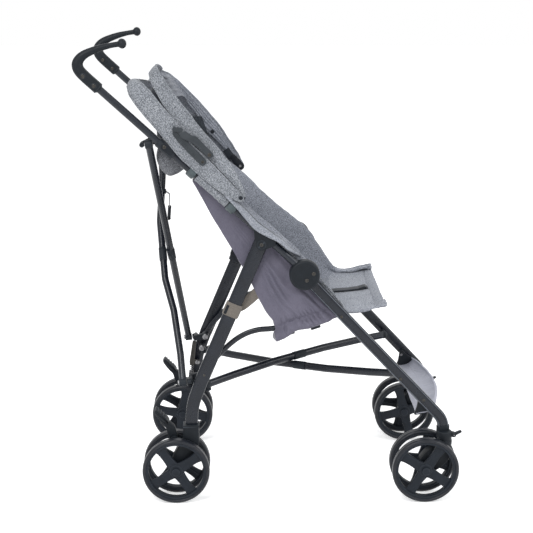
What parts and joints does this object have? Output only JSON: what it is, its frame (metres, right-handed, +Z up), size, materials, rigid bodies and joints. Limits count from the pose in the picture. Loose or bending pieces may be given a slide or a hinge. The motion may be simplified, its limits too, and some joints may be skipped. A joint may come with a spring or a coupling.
{
  "type": "umbrella stroller",
  "caption": "Folding umbrella stroller: crossed tube frame, hook grips, fabric sling seat, folding hood, footrest, swivel front casters and braked rear wheels.",
  "frame": {"origin": "floor level under the middle of the overall box, wheels standing on z = 0", "axes": "+Z up, +X the way it is pushed, -Y its right side as the child sits"},
  "size_m": [0.8424, 0.4636, 1.0236],
  "materials": {
    "powder_coat": "satin blue-black powder coat",
    "black_plastic": "moulded, fine matt",
    "bare_steel": "plated",
    "wheel_foam": "dense black foam on a moulded disc",
    "heather_cloth": "plain weave, flecked grey",
    "lining_cloth": "smooth lining",
    "footrest_cloth": "coated cloth",
    "strap_webbing": "woven webbing"
  },
  "bodies": {
    "right_frame": {"right_push_tube": "powder_coat", "right_grip": "black_plastic", "right_hinge_hub": "black_plastic", "right_leg_bracket": "black_plastic", "right_brace_clamp": "black_plastic", "seat_skirt": "lining_cloth", "seat_sling": "heather_cloth", "crotch_strap": "black_plastic", "hood_rear": "heather_cloth", "hood_fan": "heather_cloth", "rear_pouch": "heather_cloth"},
    "left_frame": {"left_push_tube": "powder_coat", "left_grip": "black_plastic", "left_hinge_hub": "black_plastic", "left_leg_bracket": "black_plastic", "left_brace_clamp": "black_plastic"},
    "right_front_leg": {"right_front_leg": "powder_coat", "right_caster_socket": "black_plastic", "footrest": "footrest_cloth"},
    "right_rear_leg": {"right_rear_leg": "powder_coat", "right_rear_axle_block": "black_plastic", "leg_strap": "strap_webbing"},
    "right_side_link": {"right_side_link": "powder_coat"},
    "right_top_knuckle": {"right_brace_top_knuckle": "black_plastic"},
    "right_foot_knuckle": {"right_brace_foot_knuckle": "black_plastic"},
    "right_lower_knuckle": {"right_lower_knuckle": "black_plastic"},
    "right_rear_brace": {"right_rear_brace": "powder_coat"},
    "right_lower_brace": {"right_lower_brace": "powder_coat"},
    "right_caster": {"right_caster_fork": "black_plastic"},
    "right_front_wheel_outer": {"right_front_wheel_outer": "wheel_foam"},
    "right_rear_wheel_outer": {"right_rear_wheel_outer": "wheel_foam"},
    "right_front_wheel_inner": {"right_front_wheel_inner": "wheel_foam"},
    "right_rear_wheel_inner": {"right_rear_wheel_inner": "wheel_foam"},
    "right_swivel_lock": {"right_swivel_lock": "black_plastic"},
    "right_brake_pedal": {"right_brake_pedal": "black_plastic"},
    "left_front_leg": {"left_front_leg": "powder_coat", "left_caster_socket": "black_plastic"},
    "left_rear_leg": {"left_rear_leg": "powder_coat", "left_rear_axle_block": "black_plastic", "lock_spring": "bare_steel"},
    "left_side_link": {"left_side_link": "powder_coat"},
    "left_top_knuckle": {"left_brace_top_knuckle": "black_plastic"},
    "left_foot_knuckle": {"left_brace_foot_knuckle": "black_plastic"},
    "left_lower_knuckle": {"left_lower_knuckle": "black_plastic"},
    "left_rear_brace": {"left_rear_brace": "powder_coat", "carry_hook": "bare_steel"},
    "left_lower_brace": {"left_lower_brace": "powder_coat"},
    "left_caster": {"left_caster_fork": "black_plastic"},
    "left_front_wheel_outer": {"left_front_wheel_outer": "wheel_foam"},
    "left_rear_wheel_outer": {"left_rear_wheel_outer": "wheel_foam"},
    "left_front_wheel_inner": {"left_front_wheel_inner": "wheel_foam"},
    "left_rear_wheel_inner": {"left_rear_wheel_inner": "wheel_foam"},
    "left_swivel_lock": {"left_swivel_lock": "black_plastic"},
    "left_brake_pedal": {"left_brake_pedal": "black_plastic"},
    "fold_lock": {"fold_lock": "bare_steel"},
    "hood": {"hood_front": "heather_cloth"},
    "right_hood_lower_arm": {"right_hood_stay_rear": "black_plastic"},
    "right_hood_upper_arm": {"right_hood_stay_front": "black_plastic"},
    "left_hood_lower_arm": {"left_hood_stay_rear": "black_plastic"},
    "left_hood_upper_arm": {"left_hood_stay_front": "black_plastic"}
  },
  "joints": [
    {"name": "fold", "type": "hinge", "parent": "right_frame", "child": "right_front_leg", "pos_m": [0.0834, -0.183, 0.5273], "axis": [0, -1, 0], "range_deg": [0, 177], "deforming": ["seat_skirt", "seat_sling", "crotch_strap", "footrest", "hood_rear", "hood_fan", "rear_pouch", "leg_strap"]},
    {"name": "right_rear_leg_fold", "type": "hinge", "parent": "right_frame", "child": "right_rear_leg", "pos_m": [-0.0288, -0.183, 0.5908], "axis": [0, -1, 0], "range_deg": [0, 68]},
    {"name": "right_side_link_fold", "type": "hinge", "parent": "right_rear_leg", "child": "right_side_link", "pos_m": [-0.1606, -0.1615, 0.278], "axis": [0, -1, 0], "range_deg": [0, 32]},
    {"name": "right_top_knuckle_fold", "type": "hinge", "parent": "right_frame", "child": "right_top_knuckle", "pos_m": [-0.2329, -0.1815, 0.8025], "axis": [0, -1, 0], "range_deg": [0, 38]},
    {"name": "right_foot_knuckle_fold", "type": "hinge", "parent": "right_rear_leg", "child": "right_foot_knuckle", "pos_m": [-0.1606, -0.1495, 0.278], "axis": [0, -1, 0], "range_deg": [-32, 0]},
    {"name": "right_lower_knuckle_fold", "type": "hinge", "parent": "right_rear_leg", "child": "right_lower_knuckle", "pos_m": [-0.1693, -0.1495, 0.249], "axis": [0, -1, 0], "range_deg": [0, 57]},
    {"name": "right_rear_brace_fold", "type": "hinge", "parent": "right_top_knuckle", "child": "right_rear_brace", "pos_m": [-0.2668, -0.195, 0.806], "axis": [-0.9929, 0, -0.1186], "range_deg": [0, 24]},
    {"name": "right_lower_brace_fold", "type": "hinge", "parent": "right_lower_knuckle", "child": "right_lower_brace", "pos_m": [-0.1508, -0.13, 0.249], "axis": [-0.0665, 0, 0.9978], "range_deg": [-31, 0]},
    {"name": "right_caster_swivel", "type": "hinge", "parent": "right_front_leg", "child": "right_caster", "pos_m": [0.3827, -0.189, 0.127], "axis": [0, 0, 1], "continuous": true},
    {"name": "right_front_wheel_outer_spin", "type": "hinge", "parent": "right_caster", "child": "right_front_wheel_outer", "pos_m": [0.3382, -0.218, 0.075], "axis": [0, 1, 0], "continuous": true},
    {"name": "right_rear_wheel_outer_spin", "type": "hinge", "parent": "right_rear_leg", "child": "right_rear_wheel_outer", "pos_m": [-0.2193, -0.212, 0.075], "axis": [0, 1, 0], "continuous": true},
    {"name": "right_front_wheel_inner_spin", "type": "hinge", "parent": "right_caster", "child": "right_front_wheel_inner", "pos_m": [0.3382, -0.16, 0.075], "axis": [0, 1, 0], "continuous": true},
    {"name": "right_rear_wheel_inner_spin", "type": "hinge", "parent": "right_rear_leg", "child": "right_rear_wheel_inner", "pos_m": [-0.2193, -0.154, 0.075], "axis": [0, 1, 0], "continuous": true},
    {"name": "right_swivel_lock_lift", "type": "hinge", "parent": "right_front_leg", "child": "right_swivel_lock", "pos_m": [0.4039, -0.189, 0.1475], "axis": [0, 1, 0], "range_deg": [-22, 0]},
    {"name": "right_brake_press", "type": "hinge", "parent": "right_rear_leg", "child": "right_brake_pedal", "pos_m": [-0.2233, -0.183, 0.142], "axis": [0, 1, 0], "range_deg": [-16, 0]},
    {"name": "left_frame_slide", "type": "slide", "parent": "right_frame", "child": "left_frame", "axis": [0, -1, 0], "range_m": [0, 0.237]},
    {"name": "left_front_leg_fold", "type": "hinge", "parent": "left_frame", "child": "left_front_leg", "pos_m": [0.0834, 0.183, 0.5273], "axis": [0, -1, 0], "range_deg": [0, 178]},
    {"name": "left_rear_leg_fold", "type": "hinge", "parent": "left_frame", "child": "left_rear_leg", "pos_m": [-0.0288, 0.183, 0.5908], "axis": [0, -1, 0], "range_deg": [0, 68]},
    {"name": "left_side_link_fold", "type": "hinge", "parent": "left_rear_leg", "child": "left_side_link", "pos_m": [-0.1606, 0.1615, 0.278], "axis": [0, -1, 0], "range_deg": [0, 32]},
    {"name": "left_top_knuckle_fold", "type": "hinge", "parent": "left_frame", "child": "left_top_knuckle", "pos_m": [-0.2329, 0.1815, 0.8025], "axis": [0, -1, 0], "range_deg": [0, 38]},
    {"name": "left_foot_knuckle_fold", "type": "hinge", "parent": "left_rear_leg", "child": "left_foot_knuckle", "pos_m": [-0.1606, 0.1495, 0.278], "axis": [0, -1, 0], "range_deg": [-32, 0]},
    {"name": "left_lower_knuckle_fold", "type": "hinge", "parent": "left_rear_leg", "child": "left_lower_knuckle", "pos_m": [-0.1693, 0.1495, 0.249], "axis": [0, -1, 0], "range_deg": [0, 57]},
    {"name": "left_rear_brace_fold", "type": "hinge", "parent": "left_top_knuckle", "child": "left_rear_brace", "pos_m": [-0.2668, 0.195, 0.806], "axis": [-0.9929, 0, -0.1186], "range_deg": [-24, 0]},
    {"name": "left_lower_brace_fold", "type": "hinge", "parent": "left_lower_knuckle", "child": "left_lower_brace", "pos_m": [-0.1508, 0.13, 0.249], "axis": [-0.0665, 0, 0.9978], "range_deg": [0, 31]},
    {"name": "left_caster_swivel", "type": "hinge", "parent": "left_front_leg", "child": "left_caster", "pos_m": [0.3827, 0.189, 0.127], "axis": [0, 0, 1], "continuous": true},
    {"name": "left_front_wheel_outer_spin", "type": "hinge", "parent": "left_caster", "child": "left_front_wheel_outer", "pos_m": [0.3382, 0.218, 0.075], "axis": [0, 1, 0], "continuous": true},
    {"name": "left_rear_wheel_outer_spin", "type": "hinge", "parent": "left_rear_leg", "child": "left_rear_wheel_outer", "pos_m": [-0.2193, 0.212, 0.075], "axis": [0, 1, 0], "continuous": true},
    {"name": "left_front_wheel_inner_spin", "type": "hinge", "parent": "left_caster", "child": "left_front_wheel_inner", "pos_m": [0.3382, 0.16, 0.075], "axis": [0, 1, 0], "continuous": true},
    {"name": "left_rear_wheel_inner_spin", "type": "hinge", "parent": "left_rear_leg", "child": "left_rear_wheel_inner", "pos_m": [-0.2193, 0.154, 0.075], "axis": [0, 1, 0], "continuous": true},
    {"name": "left_swivel_lock_lift", "type": "hinge", "parent": "left_front_leg", "child": "left_swivel_lock", "pos_m": [0.4039, 0.189, 0.1475], "axis": [0, 1, 0], "range_deg": [-22, 0]},
    {"name": "left_brake_press", "type": "hinge", "parent": "left_rear_leg", "child": "left_brake_pedal", "pos_m": [-0.2233, 0.183, 0.142], "axis": [0, 1, 0], "range_deg": [-16, 0]},
    {"name": "fold_lock_lift", "type": "hinge", "parent": "left_rear_leg", "child": "fold_lock", "pos_m": [-0.1813, 0.1605, 0.208], "axis": [0, -1, 0], "range_deg": [-12, 0], "deforming": ["lock_spring"]},
    {"name": "hood_open", "type": "hinge", "parent": "right_frame", "child": "hood", "pos_m": [-0.0733, 0, 0.694], "axis": [0, -1, 0], "range_deg": [-105, 0], "deforming": ["hood_front"]},
    {"name": "right_hood_lower_arm_turn", "type": "hinge", "parent": "right_frame", "child": "right_hood_lower_arm", "pos_m": [-0.15282, -0.2185, 0.77144], "axis": [0, -1, 0], "range_deg": [-143, 0]},
    {"name": "right_hood_upper_arm_turn", "type": "hinge", "parent": "right_hood_lower_arm", "child": "right_hood_upper_arm", "pos_m": [-0.21071, -0.2185, 0.84095], "axis": [0, -1, 0], "range_deg": [0, 181]},
    {"name": "left_hood_lower_arm_turn", "type": "hinge", "parent": "left_frame", "child": "left_hood_lower_arm", "pos_m": [-0.15282, 0.2185, 0.77144], "axis": [0, -1, 0], "range_deg": [-143, 0]},
    {"name": "left_hood_upper_arm_turn", "type": "hinge", "parent": "left_hood_lower_arm", "child": "left_hood_upper_arm", "pos_m": [-0.21071, 0.2185, 0.84095], "axis": [0, -1, 0], "range_deg": [0, 181]}
  ],
  "couplings": [
    {"joint": "right_rear_leg_fold", "follows": "fold", "ratio": 0.37853},
    {"joint": "right_side_link_fold", "follows": "fold", "ratio": 0.17006},
    {"joint": "right_top_knuckle_fold", "follows": "fold", "ratio": 0.20565},
    {"joint": "right_foot_knuckle_fold", "follows": "fold", "ratio": -0.17288},
    {"joint": "right_lower_knuckle_fold", "follows": "fold", "ratio": 0.3113},
    {"joint": "right_rear_brace_fold", "follows": "fold", "ratio": 0.12808},
    {"joint": "right_lower_brace_fold", "follows": "fold", "ratio": -0.16667},
    {"joint": "left_frame_slide", "follows": "fold", "m_per_rad": 0.076394},
    {"joint": "left_front_leg_fold", "follows": "fold", "ratio": 1},
    {"joint": "left_rear_leg_fold", "follows": "fold", "ratio": 0.37853},
    {"joint": "left_side_link_fold", "follows": "fold", "ratio": 0.17006},
    {"joint": "left_top_knuckle_fold", "follows": "fold", "ratio": 0.20565},
    {"joint": "left_foot_knuckle_fold", "follows": "fold", "ratio": -0.17288},
    {"joint": "left_lower_knuckle_fold", "follows": "fold", "ratio": 0.3113},
    {"joint": "left_rear_brace_fold", "follows": "fold", "ratio": -0.12808},
    {"joint": "left_lower_brace_fold", "follows": "fold", "ratio": 0.16667},
    {"joint": "right_hood_lower_arm_turn", "follows": "hood_open", "ratio": 1.3571},
    {"joint": "right_hood_upper_arm_turn", "follows": "hood_open", "ratio": -1.7143},
    {"joint": "left_hood_lower_arm_turn", "follows": "hood_open", "ratio": 1.3571},
    {"joint": "left_hood_upper_arm_turn", "follows": "hood_open", "ratio": -1.7143}
  ]
}
